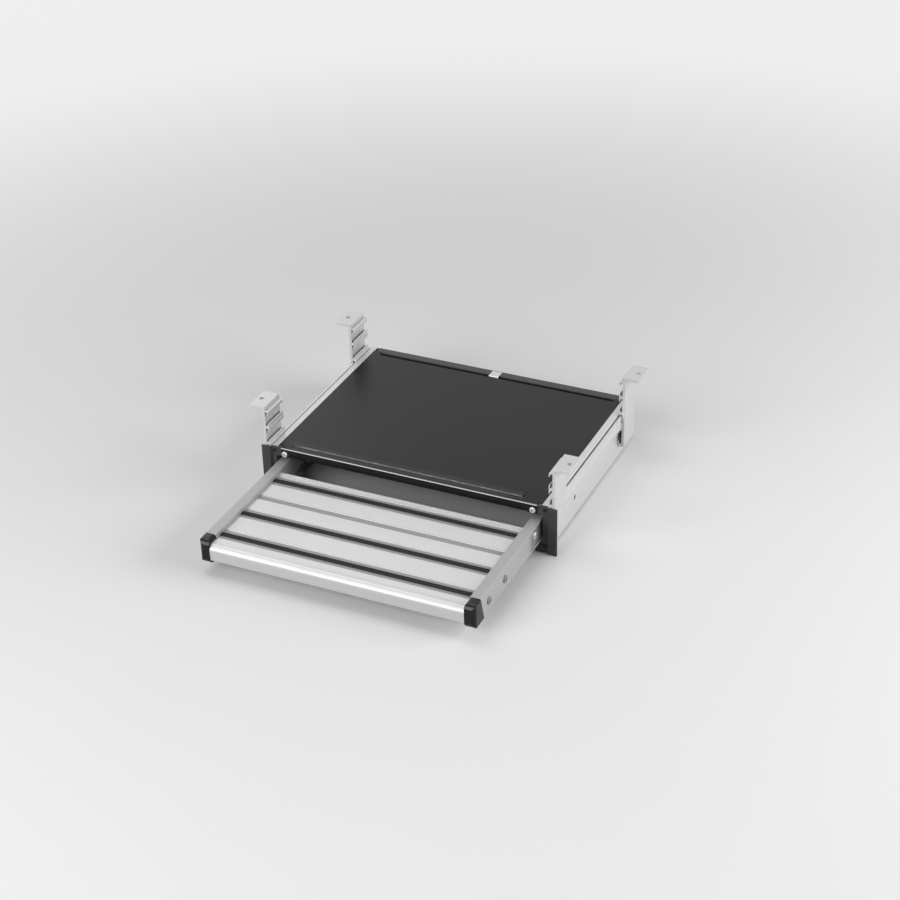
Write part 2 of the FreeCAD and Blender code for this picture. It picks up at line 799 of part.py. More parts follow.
# Carriage bar: flat bar that carries the two track wheels of one side
def carriage_bar():
    top = -arm_top - arm_wall - clearance
    low = -arm_bottom + arm_wall + clearance
    outline = [
        (-bar_front, low, 1.0),
        (bar_rear, low, bar_corner),
        (bar_rear, top, bar_corner),
        (-bar_front, top, 1.0),
    ]
    bar = along_x(outline, bar_inner, bar_outer)
    for y in (wheel_front_y, wheel_rear_y):
        bar = bar.cut(rod_x(bar_inner - 1, bar_outer + 1, y, -track_centre, axle_radius + screw_play))
    for y in bar_screw_rows:
        bar = bar.cut(rod_x(bar_inner - 1, bar_outer + 1, y, -bar_screw_drop, bar_screw_radius + screw_play))
    return bar


# Stub axle riveted into the carriage bar, with a head in the wheel's outer face
def wheel_axles():
    head_seat = wheel_inner + side_play + wheel_width - 1.6 + side_play
    axles = []
    for y in (wheel_front_y, wheel_rear_y):
        steps = [
            (bar_inner - axle_head, axle_head_radius, 0.4),
            (bar_inner, axle_head_radius),
            (bar_inner, axle_radius),
            (bar_outer, axle_radius),
            (bar_outer, axle_shoulder_radius),
            (wheel_inner, axle_shoulder_radius),
            (wheel_inner, axle_radius),
            (head_seat, axle_radius),
            (head_seat, axle_head_radius),
            (head_seat + axle_head, axle_head_radius, 0.4),
        ]
        axles.append(turned_x(steps, y, -track_centre))
    return axles


# Track wheel: moulded, with a hub recess for the axle head
def track_wheel(y):
    inner = wheel_inner + side_play
    outer = inner + wheel_width
    bore = axle_radius + running_fit
    recess = axle_head_radius + 1.0
    rim = wheel_radius - 3.0
    outline = [
        (inner, bore),
        (inner, wheel_radius, 0.8),
        (outer, wheel_radius, 0.8),
        (outer, rim),
        (outer - 1.0, rim - 0.6),
        (outer - 1.0, recess + 0.8),
        (outer, recess + 0.4),
        (outer, recess),
        (outer - 1.6, recess),
        (outer - 1.6, bore),
    ]
    edges = rounded_edges(outline, lambda p: at(p.x, y, -track_centre + p.y))
    face = Part.Face(Part.Wire(edges))
    return face.revolve(at(0, y, -track_centre), Vector(1, 0, 0), 360)


# Support wheel under the arm, at the front of the housing
def support_span():
    outer = arm_half - 0.8
    return (outer - support_width, outer)


def support_wheel():
    inner, outer = support_span()
    bore = axle_radius + running_fit
    outline = [
        (inner, bore),
        (inner, support_radius, 0.8),
        (outer, support_radius, 0.8),
        (outer, bore),
    ]
    edges = rounded_edges(outline, lambda p: at(p.x, support_y, -support_drop + p.y))
    face = Part.Face(Part.Wire(edges))
    return face.revolve(at(0, support_y, -support_drop), Vector(1, 0, 0), 360)


def support_axle():
    inner, outer = support_span()
    steps = [
        (inner - side_play - axle_head, support_shoulder_radius, 0.4),
        (inner - side_play, support_shoulder_radius),
        (inner - side_play, axle_radius),
        (outer + side_play, axle_radius),
        (outer + side_play, support_shoulder_radius),
        (web_inner, support_shoulder_radius),
        (web_inner, axle_radius),
        (rail_half, axle_radius),
        (rail_half, support_shoulder_radius),
        (rail_half + axle_head, support_shoulder_radius, 0.4),
    ]
    return turned_x(steps, support_y, -support_drop)


# Tread planks: hollow extrusions with sunk bands and slots for rubber strips
def line_mark(y):
    # Fine groove in the tread's top, listed from rear to front
    half = line_width / 2
    return [(-y + half, -plank_top), (-y, -plank_top - line_depth), (-y - half, -plank_top)]


def fine_ribs(rear, front):
    # Fine anti-slip ribs over one raised field, listed from rear to front
    count = int((rear - front - 2 * fine_land) / fine_pitch)
    y = (rear + front + count * fine_pitch) / 2
    points = []
    for _ in range(count):
        points.append((y, -plank_top))
        points.append((y - fine_pitch / 2, -plank_top - fine_depth))
        y -= fine_pitch
    points.append((y, -plank_top))
    return points


def grip_slot(y):
    # Sunk band with a T slot for the rubber strip, listed from rear to front
    band_z = -plank_top - band_depth
    mouth_z = band_z - grip_mouth
    floor_z = band_z - grip_depth
    half = band_width / 2
    return [
        (-y + half, -plank_top),
        (-y + half - band_depth / 2, band_z),
        (-y + grip_width / 2, band_z),
        (-y + grip_width / 2, mouth_z),
        (-y + grip_foot / 2, mouth_z),
        (-y + grip_foot / 2, floor_z),
        (-y - grip_foot / 2, floor_z),
        (-y - grip_foot / 2, mouth_z),
        (-y - grip_width / 2, mouth_z),
        (-y - grip_width / 2, band_z),
        (-y - half + band_depth / 2, band_z),
        (-y - half, -plank_top),
    ]


def cell(y_rear, y_front, roof):
    # Hollow between two ribs
    floor = -plank_bottom + plank_wall
    return [
        (y_rear, floor, 1.5),
        (y_rear, roof, 1.5),
        (y_front, roof, 1.5),
        (y_front, floor, 1.5),
    ]


def hollowed(plank, cells):
    for rear, front, under_slot in cells:
        roof = -plank_top - plank_roof
        if under_slot:
            roof = -plank_top - band_depth - grip_depth - plank_wall
        plank = plank.cut(along_x(cell(rear, front, roof), -plank_half - 1, plank_half + 1))
    return plank


def cells_between(rear, front, ribs, slots):
    # Splits a plank's inside at its ribs and at the edges of each slot's wall
    cuts = []
    half_slot = grip_foot / 2 + plank_wall
    for y in slots:
        cuts.append((-y + half_slot, -y - half_slot, True))
    cells = []
    edges = sorted(cuts, reverse=True)
    start = rear
    for slot_rear, slot_front, under in edges:
        cells.append((start, slot_rear + rib_thickness, False))
        cells.append((slot_rear, slot_front, under))
        start = slot_front - rib_thickness
    cells.append((start, front, False))
    split = []
    for cell_rear, cell_front, under in cells:
        position = cell_rear
        for y in sorted([-r for r in ribs], reverse=True):
            if cell_front + 6 < y < cell_rear - 6:
                split.append((position, y + rib_thickness / 2, under))
                position = y - rib_thickness / 2
        split.append((position, cell_front, under))
    return [c for c in split if c[0] - c[1] > 4]


def rear_plank():
    rear = -rear_edge_y
    front = -joint_y + plank_end_gap
    half_joint = joint_band_width / 2
    band_z = -plank_top - band_depth
    tongue_z = -plank_top - tongue_drop
    outline = [(rear, -plank_bottom, 1.0), (rear, -plank_top, 1.5)]
    half_band = band_width / 2
    outline += fine_ribs(rear - 1.5, -rear_grip_y + half_band)
    outline += grip_slot(rear_grip_y)
    outline += fine_ribs(-rear_grip_y - half_band, -joint_y + half_joint)
    outline += [
        (-joint_y + half_joint, -plank_top),
        (-joint_y + half_joint - band_depth / 2, band_z),
        (front, band_z),
        (front, tongue_z),
        (front - tongue_depth, tongue_z - 0.5),
        (front - tongue_depth, tongue_z - tongue_height + 0.5),
        (front, tongue_z - tongue_height),
        (front, -plank_bottom, 1.0),
    ]
    plank = along_x(outline, -plank_half, plank_half)
    cells = cells_between(rear - plank_wall, front + plank_wall, (plank_screw_y + 12,), (rear_grip_y,))
    plank = hollowed(plank, cells)
    for side in (-1, 1):
        x = side * (arm_inner - shelf_reach / 2)
        radius = plank_screw_radius + screw_play
        low = -plank_bottom - 1
        plank = plank.cut(rod_z(x, -plank_screw_y, low, -plank_bottom + plank_wall + 1, radius))
    return one_solid(plank)


def front_plank():
    rear = -joint_y - plank_end_gap
    half_joint = joint_band_width / 2
    band_z = -plank_top - band_depth
    groove_z = -plank_top - tongue_drop + 0.2
    groove_depth = tongue_depth + 0.3
    half_band = band_width / 2
    outline = [
        (rear, -plank_bottom, 1.0),
        (rear, groove_z - tongue_height - 0.4),
        (rear - groove_depth, groove_z - tongue_height + 0.1),
        (rear - groove_depth, groove_z - 0.5),
        (rear, groove_z),
        (rear, band_z),
        (-joint_y - half_joint + band_depth / 2, band_z),
        (-joint_y - half_joint, -plank_top),
    ]
    outline += fine_ribs(-joint_y - half_joint, -middle_grip_y + half_band)
    outline += grip_slot(middle_grip_y)
    outline += fine_ribs(-middle_grip_y - half_band, -front_grip_y + half_band)
    outline += grip_slot(front_grip_y)
    outline += fine_ribs(-front_grip_y - half_band, -nose_y + line_inset + line_width / 2)
    outline += line_mark(nose_y - line_inset)
    outline += [
        (-nose_y, -plank_top, nose_radius),
        (-nose_y + nose_lean, -plank_bottom, nose_foot_radius),
    ]
    plank = along_x(outline, -plank_half, plank_half)
    cells = cells_between(rear - groove_depth - plank_wall, -nose_y + nose_solid,
                          front_rib_rows + arm_screw_rows, (middle_grip_y, front_grip_y))
    plank = hollowed(plank, cells)
    for angle in flute_angles:
        turn = math.radians(angle)
        y = -nose_y + nose_radius - nose_radius * math.sin(turn)
        z = -plank_top - nose_radius + nose_radius * math.cos(turn)
        plank = plank.cut(rod_x(-plank_half - 1, plank_half + 1, y, z, flute_radius))
    for y in arm_screw_rows:
        plank = plank.fuse(rod_x(-plank_half, plank_half, -y, -arm_screw_drop, port_radius + 0.6))
    radius = arm_screw_radius + screw_play
    for y in arm_screw_rows:
        plank = plank.cut(rod_x(-plank_half - 1, plank_half + 1, -y, -arm_screw_drop, radius))
    return one_solid(plank)


# Rubber strip with three ridges, held by its foot in the plank's slot
def grip_strip(y):
    slack = 0.1
    band_z = -plank_top - band_depth
    mouth_z = band_z - grip_mouth
    floor_z = band_z - grip_depth + slack
    half = grip_width / 2 - slack
    foot = grip_foot / 2 - slack
    high = -plank_top + grip_proud
    low = high - 0.6
    outline = [
        (-y + foot, floor_z),
        (-y + foot, mouth_z - slack),
        (-y + half, mouth_z - slack),
        (-y + half, high, 0.4),
    ]
    valley = grip_width / 6
    for centre in (valley, -valley):
        outline.append((-y + centre + 0.7, high))
        outline.append((-y + centre + 0.3, low))
        outline.append((-y + centre - 0.3, low))
        outline.append((-y + centre - 0.7, high))
    outline += [
        (-y - half, high, 0.4),
        (-y - half, mouth_z - slack),
        (-y - foot, mouth_z - slack),
        (-y - foot, floor_z),
    ]
    return along_x(outline, -plank_half, plank_half)


def plank_screws():
    x = arm_inner - shelf_reach / 2
    seat = -shelf_low
    shank = rod_z(x, -plank_screw_y, seat, seat + plank_screw_length, plank_screw_radius)
    head = rod_z(x, -plank_screw_y, seat - plank_screw_head, seat, plank_screw_head_radius)
    return shank.fuse(head)


# Corner cap: moulded cap that closes the arm and the nose's end
def corner_cap():
    outer = arm_half + cap_proud
    top = -arm_top + cap_proud
    low = -cap_drop
    gap = clearance / 3
    rear = arm_front_y(low) - gap
    plan = [
        (arm_inner, rear),
        (outer, rear),
        (outer, -cap_front, cap_corner_radius),
        (arm_inner, -cap_front, 1.0),
    ]
    body = along_z(plan, low, top)
    side = [
        (arm_front_y(top) - gap, top),
        (-cap_front, top, nose_radius + cap_nose_proud),
        (-cap_front + nose_lean, low, cap_foot_radius),
        (rear, low),
    ]
    body = body.common(along_x(side, arm_inner - 1, outer + 1))
    crown = [
        (arm_inner, top, cap_inner_radius),
        (outer, top, cap_top_radius),
        (outer, low, cap_top_radius),
        (arm_inner, low, 1.0),
    ]
    body = body.common(along_y(crown, -cap_front - 1, rear + 1))
    inset = arm_wall + 0.2
    plug = [
        (arm_inner + inset, -arm_top - inset, 1.0),
        (arm_half - inset, -arm_top - inset, 1.0),
        (arm_half - inset, -arm_bottom + inset, 1.0),
        (arm_inner + inset, -arm_bottom + inset, 1.0),
    ]
    plug_rear = -arm_front_bottom + cap_plug
    body = body.fuse(along_y(plug, -arm_front_top - 2, plug_rear))
    core = [
        (arm_inner + inset + cap_wall, -arm_top - inset - cap_wall),
        (arm_half - inset - cap_wall, -arm_top - inset - cap_wall),
        (arm_half - inset - cap_wall, -arm_bottom + inset + cap_wall),
        (arm_inner + inset + cap_wall, -arm_bottom + inset + cap_wall),
    ]
    body = body.cut(along_y(core, -cap_front + cap_solid, plug_rear + 1))
    return one_solid(body)


# Pan-head screws through the lip's ears into the end plates
def lip_screw():
    shank = rod_y(lip_screw_x, 0, plate_back + 6, -lip_screw_drop, lip_screw_radius)
    head = rod_y(lip_screw_x, -lip_screw_head, 0, -lip_screw_drop, lip_screw_head_radius)
    rim = [e for e in head.Edges if abs(e.CenterOfMass.y - (fold_y - lip_screw_head)) < 0.01 and e.Closed]
    head = head.makeFillet(1.6, rim)
    arm_half_width = 0.9
    reach = 3.0
    depth = 1.2
    near = -lip_screw_head
    upright = block(lip_screw_x - arm_half_width, lip_screw_x + arm_half_width, near - 0.1, near + depth,
                    -lip_screw_drop - reach, -lip_screw_drop + reach)
    flat = block(lip_screw_x - reach, lip_screw_x + reach, near - 0.1, near + depth,
                 -lip_screw_drop - arm_half_width, -lip_screw_drop + arm_half_width)
    return shank.fuse(head.cut(upright).cut(flat))


# Screws into the rails' ports, at the front and at the rear
def port_screws(front):
    screws = []
    x = rail_half - port_inset
    for drop in (upper_port_drop, lower_port_drop):
        if front:
            seat = cover_thickness + 0.1
            shank = rod_y(x, seat, seat + end_screw_length, -drop, end_screw_radius)
            head = rod_y(x, seat - end_screw_head, seat, -drop, end_screw_head_radius)
            socket = rod_y(x, seat - end_screw_head - 0.1, seat - 0.4, -drop, end_screw_head_radius / 2)
        else:
            seat = housing_depth + crossbar_thickness
            shank = rod_y(x, seat - end_screw_length, seat, -drop, end_screw_radius)
            head = rod_y(x, seat, seat + end_screw_head, -drop, end_screw_head_radius)
            socket = rod_y(x, seat + 0.4, seat + end_screw_head + 0.1, -drop, end_screw_head_radius / 2)
        screws.append(shank.fuse(head).cut(socket))
    return screws


def both_sides(solids):
    return Part.makeCompound(list(solids) + [mirrored(s) for s in solids])


def build():
    rail = side_rail()
    plate = end_plate()
    front_bracket = bracket(front_bolt_y)
    rear_bracket = bracket(rear_bolt_y)
    right_arm = arm()
    bar = carriage_bar()
    cap = corner_cap()
    stops = stop_blocks()
    front_wheel = track_wheel(wheel_front_y)
    rear_wheel = track_wheel(wheel_rear_y)
    support = support_wheel()
    return {
        "side_rail_right": rail,
        "side_rail_left": mirrored(rail),
        "cover_plate": cover_plate(),
        "rear_crossbar": rear_crossbar(),
        "cover_clip": cover_clip(),
        "end_plate_right": plate,
        "end_plate_left": mirrored(plate),
        "bracket_front_right": front_bracket,
        "bracket_front_left": mirrored(front_bracket),
        "bracket_rear_right": rear_bracket,
        "bracket_rear_left": mirrored(rear_bracket),
        "lip_screws": pair(lip_screw()),
        "end_plate_screws": both_sides(port_screws(True)),
        "crossbar_screws": both_sides(port_screws(False)),
        "front_stop_blocks": pair(stops[0]),
        "rear_stop_blocks": pair(stops[1]),
        "stop_screws": both_sides(stop_screws()),
        "support_axles": pair(support_axle()),
        "support_wheel_right": support,
        "support_wheel_left": mirrored(support),
        "arm_right": right_arm,
        "arm_left": mirrored(right_arm),
        "front_plank": front_plank(),
        "rear_plank": rear_plank(),
        "grip_strip_rear": grip_strip(rear_grip_y),
        "grip_strip_middle": grip_strip(middle_grip_y),
        "grip_strip_front": grip_strip(front_grip_y),
        "corner_cap_right": cap,
        "corner_cap_left": mirrored(cap),
        "arm_screws": both_sides(arm_screws()),
        "plank_screws": pair(plank_screws()),
        "carriage_bar_right": bar,
        "carriage_bar_left": mirrored(bar),
        "carriage_screws": both_sides(bar_screws()),
        "wheel_axles": both_sides(wheel_axles()),
        "front_wheel_right": front_wheel,
        "front_wheel_left": mirrored(front_wheel),
        "rear_wheel_right": rear_wheel,
        "rear_wheel_left": mirrored(rear_wheel),
    }


os.makedirs("parts", exist_ok=True)
for name, shape in build().items():
    shape.exportStep(os.path.join("parts", name + ".step"))
    print(name, len(shape.Solids), "solids", round(shape.Volume / 1000.0, 2), "cm3", shape.isValid())
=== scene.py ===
"""Looks for the slide-out step: finishes, rounded edges, studio and camera."""

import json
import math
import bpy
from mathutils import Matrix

bl_info = {
    "name": "Slide-out step",
    "version": (1, 0, 0),
    "blender": (4, 5, 0),
    "location": "View3D > Sidebar > Slide-out step",
    "description": "Dresses the slide-out step and sets up its studio",
    "category": "Object",
}

import bpy
from mathutils import Matrix, Vector

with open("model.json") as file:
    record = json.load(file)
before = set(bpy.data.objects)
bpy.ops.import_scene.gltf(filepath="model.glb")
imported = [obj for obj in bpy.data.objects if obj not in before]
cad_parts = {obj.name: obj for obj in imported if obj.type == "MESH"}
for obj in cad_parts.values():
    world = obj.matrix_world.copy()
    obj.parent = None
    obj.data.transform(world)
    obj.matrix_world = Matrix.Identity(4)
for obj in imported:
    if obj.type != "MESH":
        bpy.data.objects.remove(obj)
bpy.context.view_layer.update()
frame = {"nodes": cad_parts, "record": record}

# Places in the part's own frame, in metres
FOLD_Y = -0.179                  # the cover's front fold
FOLD_END_Y = FOLD_Y + 0.003      # where the fold has run out into the flat top
COVER_Z = -0.070                 # the cover's flat top
BAND_LOW = COVER_Z - 0.0350      # under the tread's sunk bands
BAND_HIGH = COVER_Z - 0.0325     # over them and the lower part of their slopes, which is darkened as painted shade to dull its highlight; under the valleys of the fine ribs
BAND_FRONT = FOLD_Y - 0.2300     # between the bands and the nose
LAMP_AIM = (0.0, -0.1, -0.08)    # where every lamp points

# Grain cells in a metre along X, Y and Z: drawn lines, fine even grain and clouds
ALONG_X = (6.0, 900.0, 900.0)
ALONG_Y = (900.0, 6.0, 900.0)
EVEN = (700.0, 700.0, 700.0)
CLOUDS = (40.0, 40.0, 40.0)

# Heights of the bumps, in metres
GRAIN_HEIGHT = 0.00002
SKIN_HEIGHT = 0.00003

# Distances from the part's origin at which the floor fades into the white backdrop, in metres
PALE_START = 0.5
PALE_END = 2.2
HAZE_END = 8.0

WHITE = (1.0, 1.0, 1.0, 1.0)
SKY = (0.95, 0.97, 1.0, 1.0)

# Nodes that look other than the rest of their material slot
OWN_LOOKS = ("arm_screws",)


def place_value(tree, value, socket):
    """Links an output to the socket, or sets the socket to a constant."""
    if isinstance(value, bpy.types.NodeSocket):
        tree.links.new(value, socket)
    else:
        socket.default_value = value


def add(tree, kind, inputs=None, **settings):
    """Adds a node; inputs are constants or outputs to link from."""
    made = tree.nodes.new(kind)
    for name, value in settings.items():
        setattr(made, name, value)
    for name, value in (inputs or {}).items():
        place_value(tree, value, made.inputs[name])
    return made


def calculate(tree, operation, first, second=0.0, clamp=False):
    """Output of a Math node."""
    made = add(tree, "ShaderNodeMath", {0: first, 1: second}, operation=operation, use_clamp=clamp)
    return made.outputs[0]


def object_place(tree):
    """Output with the place in the object's own coordinates."""
    return add(tree, "ShaderNodeTexCoord").outputs["Object"]


def split(tree, vector):
    """Outputs X, Y and Z of a vector."""
    return add(tree, "ShaderNodeSeparateXYZ", {"Vector": vector}).outputs


def swing(tree, noise, amount):
    """Noise turned into an offset, as much down as up."""
    return calculate(tree, "MULTIPLY", calculate(tree, "SUBTRACT", noise, 0.5), amount)


def fade(tree, value, start, end, first, last):
    """Output that runs smoothly from the first to the last level between two values."""
    inputs = {"Value": value, "From Min": start, "From Max": end, "To Min": first, "To Max": last}
    return add(tree, "ShaderNodeMapRange", inputs, interpolation_type="SMOOTHSTEP").outputs[0]


def new_group(name, inputs, outputs):
    """Empty shader node group, with the outputs and inputs of its two end nodes."""
    tree = bpy.data.node_groups.new(name, "ShaderNodeTree")
    for label, kind, default in inputs:
        made = tree.interface.new_socket(label, in_out="INPUT", socket_type=kind)
        made.default_value = default
    for label in outputs:
        tree.interface.new_socket(label, in_out="OUTPUT", socket_type="NodeSocketFloat")
    return tree, tree.nodes.new("NodeGroupInput").outputs, tree.nodes.new("NodeGroupOutput").inputs


def drawn_grain(name):
    """Lines drawn along an extrusion, or even grain where the stretch is even."""
    tree, given, result = new_group(
        name,
        [("Stretch", "NodeSocketVector", (1.0, 1.0, 1.0)), ("Amount", "NodeSocketFloat", 0.1)],
        ["Shade", "Height"],
    )
    mapped = add(tree, "ShaderNodeMapping", {"Vector": object_place(tree), "Scale": given["Stretch"]})
    inputs = {"Vector": mapped.outputs[0], "Scale": 1.0, "Detail": 3.0, "Roughness": 0.6}
    noise = add(tree, "ShaderNodeTexNoise", inputs).outputs["Fac"]
    shade = calculate(tree, "ADD", swing(tree, noise, given["Amount"]), 1.0)
    tree.links.new(shade, result["Shade"])
    tree.links.new(noise, result["Height"])
    return tree


def handling(name):
    """Broad faint patches, as handling leaves on any finish."""
    tree, given, result = new_group(
        name,
        [("Scale", "NodeSocketFloat", 12.0), ("Amount", "NodeSocketFloat", 0.1)],
        ["Offset"],
    )
    inputs = {"Vector": object_place(tree), "Scale": given["Scale"], "Detail": 5.0, "Roughness": 0.65}
    noise = add(tree, "ShaderNodeTexNoise", inputs).outputs["Fac"]
    tree.links.new(swing(tree, noise, given["Amount"]), result["Offset"])
    return tree


def coat_skin(name):
    """Orange peel of a powder coat, or the spark texture of a moulding."""
    tree, given, result = new_group(name, [("Scale", "NodeSocketFloat", 900.0)], ["Height"])
    inputs = {"Vector": object_place(tree), "Scale": given["Scale"]}
    cells = add(tree, "ShaderNodeTexVoronoi", inputs, feature="SMOOTH_F1").outputs["Distance"]
    noise = add(tree, "ShaderNodeTexNoise", {**inputs, "Detail": 2.0}).outputs["Fac"]
    coarse = calculate(tree, "MULTIPLY", cells, 0.6)
    fine = calculate(tree, "MULTIPLY", noise, 0.4)
    tree.links.new(calculate(tree, "ADD", coarse, fine), result["Height"])
    return tree


def sunk_bands(name):
    """Mask of what lies between two heights, behind the given front."""
    tree, given, result = new_group(
        name,
        [
            ("Low", "NodeSocketFloat", 0.0),
            ("High", "NodeSocketFloat", 1.0),
            ("Front", "NodeSocketFloat", 0.0),
        ],
        ["Mask"],
    )
    place = split(tree, object_place(tree))
    above = calculate(tree, "GREATER_THAN", place["Z"], given["Low"])
    below = calculate(tree, "LESS_THAN", place["Z"], given["High"])
    behind = calculate(tree, "GREATER_THAN", place["Y"], given["Front"])
    between = calculate(tree, "MULTIPLY", above, below)
    tree.links.new(calculate(tree, "MULTIPLY", between, behind), result["Mask"])
    return tree


def crevices(name):
    """Painted shade: darkens slots and recesses wherever ambient occlusion finds them closed in."""
    tree, given, result = new_group(
        name,
        [("Reach", "NodeSocketFloat", 0.003), ("Depth", "NodeSocketFloat", 0.5)],
        ["Shade"],
    )
    inputs = {"Distance": given["Reach"]}
    open_share = add(tree, "ShaderNodeAmbientOcclusion", inputs, samples=8, only_local=True).outputs["AO"]
    closed = calculate(tree, "SUBTRACT", 1.0, open_share)
    closed = calculate(tree, "MULTIPLY", closed, given["Depth"], clamp=True)
    tree.links.new(calculate(tree, "SUBTRACT", 1.0, closed, clamp=True), result["Shade"])
    return tree


def fold_gloss(name):
    """Mask of surfaces that lean forward, where a thick coat runs glossy over a fold.

    In front of the given place it is full, behind it only the given share is left.
    """
    tree, given, result = new_group(
        name,
        [
            ("Power", "NodeSocketFloat", 2.0),
            ("Front", "NodeSocketFloat", 0.0),
            ("Share", "NodeSocketFloat", 0.5),
        ],
        ["Mask"],
    )
    facet = add(tree, "ShaderNodeNewGeometry").outputs["True Normal"]
    turned = add(tree, "ShaderNodeVectorTransform", {"Vector": facet}, vector_type="NORMAL",
                 convert_from="WORLD", convert_to="OBJECT")
    normal = split(tree, turned.outputs[0])
    lean = calculate(tree, "MULTIPLY", normal["Y"], normal["Z"])
    lean = calculate(tree, "MULTIPLY", lean, -2.0, clamp=True)
    mask = calculate(tree, "POWER", lean, given["Power"])
    place = split(tree, object_place(tree))
    front = calculate(tree, "LESS_THAN", place["Y"], given["Front"])
    share = calculate(tree, "MAXIMUM", front, given["Share"])
    tree.links.new(calculate(tree, "MULTIPLY", mask, share), result["Mask"])
    return tree


EFFECTS = {
    "Drawn grain": drawn_grain,
    "Handling": handling,
    "Coat skin": coat_skin,
    "Sunk bands": sunk_bands,
    "Painted recess shade": crevices,
    "Fold gloss": fold_gloss,
}


def effect(tree, name, **inputs):
    """Outputs of a shared node group, which is built where it is first used."""
    made = tree.nodes.new("ShaderNodeGroup")
    made.node_tree = bpy.data.node_groups.get(name) or EFFECTS[name](name)
    for label, value in inputs.items():
        made.inputs[label].default_value = value
    return made.outputs


def new_material(name):
    """Material with a Principled shader, its node tree and that shader."""
    made = bpy.data.materials.new(name)
    made.use_nodes = True
    tree = made.node_tree
    tree.nodes.clear()
    shader = tree.nodes.new("ShaderNodeBsdfPrincipled")
    output = tree.nodes.new("ShaderNodeOutputMaterial")
    tree.links.new(shader.outputs[0], output.inputs[0])
    return made, tree, shader


def soft_normal(tree, radius, height, distance, strength):
    """Edges rounded to the given radius, with a bump over the surface."""
    rounded = add(tree, "ShaderNodeBevel", {"Radius": radius}, samples=4).outputs[0]
    inputs = {"Height": height, "Distance": distance, "Strength": strength, "Normal": rounded}
    return add(tree, "ShaderNodeBump", inputs).outputs[0]


def background_rays(tree):
    """1 for rays that show the background: seen straight, mirrored or through glass."""
    path = add(tree, "ShaderNodeLightPath").outputs
    seen = calculate(tree, "MAXIMUM", path["Is Camera Ray"], path["Is Glossy Ray"])
    return calculate(tree, "MAXIMUM", seen, path["Is Transmission Ray"])


def shaded(tree, colour, shade):
    """Output with the colour scaled by the shade."""
    return add(tree, "ShaderNodeVectorMath", {0: colour[:3], "Scale": shade}, operation="SCALE").outputs[0]


def metal(name, colour, roughness, share, grain, amount, edge=0.0004, reach=0.004, depth=0.6, bands=None):
    """Drawn or plated metal, with painted shade in its crevices; bands are the colour and roughness of sunk
    ones.
    """
    made, tree, shader = new_material(name)
    lines = effect(tree, "Drawn grain", Stretch=grain, Amount=amount)
    patches = effect(tree, "Handling", Scale=9.0, Amount=0.08)
    # painted shade: the colour is darkened in slots and recesses by ambient occlusion
    painted_shade = effect(tree, "Painted recess shade", Reach=reach, Depth=depth)
    shade = calculate(tree, "MULTIPLY", lines["Shade"], painted_shade["Shade"])
    tone = shaded(tree, colour, shade)
    rough = calculate(tree, "ADD", patches["Offset"], roughness, clamp=True)
    if bands:
        band_colour, band_roughness = bands
        # the darker band colour also covers the lower part of the bands' slopes: painted shade that dulls
        # their highlight
        mask = effect(tree, "Sunk bands", Low=BAND_LOW, High=BAND_HIGH, Front=BAND_FRONT)["Mask"]
        inputs = {"Factor": mask, 6: tone, 7: shaded(tree, band_colour, shade)}
        tone = add(tree, "ShaderNodeMix", inputs, data_type="RGBA").outputs[2]
        duller = calculate(tree, "MULTIPLY", mask, band_roughness - roughness)
        rough = calculate(tree, "ADD", rough, duller, clamp=True)
    tree.links.new(tone, shader.inputs["Base Color"])
    tree.links.new(rough, shader.inputs["Roughness"])
    shader.inputs["Metallic"].default_value = share
    normal = soft_normal(tree, edge, lines["Height"], GRAIN_HEIGHT, 0.4)
    tree.links.new(normal, shader.inputs["Normal"])
    return made


def coat(name, colour, roughness, level, scale=1400.0, bump=0.25, edge=0.0005, folds=False):
    """Powder coat, rubber or moulded plastic; the scale is that of its skin."""
    made, tree, shader = new_material(name)
    patches = effect(tree, "Handling", Scale=7.0, Amount=0.10)
    clouds = effect(tree, "Drawn grain", Stretch=CLOUDS, Amount=0.16)
    skin = effect(tree, "Coat skin", Scale=scale)
    tree.links.new(shaded(tree, colour, clouds["Shade"]), shader.inputs["Base Color"])
    rough = calculate(tree, "ADD", patches["Offset"], roughness, clamp=True)
    tree.links.new(rough, shader.inputs["Roughness"])
    shader.inputs["Specular IOR Level"].default_value = level
    if folds:
        gloss = effect(tree, "Fold gloss", Power=4.0, Front=FOLD_END_Y, Share=0.3)
        tree.links.new(gloss["Mask"], shader.inputs["Coat Weight"])
        shader.inputs["Coat Roughness"].default_value = 0.2
        shader.inputs["Coat IOR"].default_value = 2.8
    normal = soft_normal(tree, edge, skin["Height"], SKIN_HEIGHT, bump)
    tree.links.new(normal, shader.inputs["Normal"])
    return made


# The depth given to each metal below is how dark its painted shade runs in slots and recesses.
def rail_aluminium(name, s):
    """Mill finish of the side rails."""
    return metal(name, s.rail_colour, s.rail_roughness, s.metal_share, ALONG_Y, 0.10, depth=0.3)


def bracket_aluminium(name, s):
    """Mill finish of the brackets."""
    return metal(name, s.bracket_colour, s.rail_roughness, s.metal_share, ALONG_Y, 0.12, depth=0.7)


def arm_aluminium(name, s):
    """Anodised arms."""
    return metal(name, s.arm_colour, s.arm_roughness, s.anodised_share, ALONG_Y, 0.06)


def plank_aluminium(name, s):
    """Anodised planks, darker and duller in their sunk bands."""
    return metal(name, s.plank_colour, s.plank_roughness, s.metal_share, ALONG_X, 0.06, edge=0.0002,
                 depth=0.15, bands=(s.band_colour, s.band_roughness))


def clip_steel(name, s):
    """Bright spring steel of the clip on the rear edge."""
    return metal(name, s.clip_colour, 0.35, s.metal_share, ALONG_X, 0.08)


def screw_zinc(name, s):
    """Zinc plate of the bright screws and the axles."""
    return metal(name, s.screw_colour, 0.25, s.metal_share, EVEN, 0.15, edge=0.0002, reach=0.003, depth=1.0)


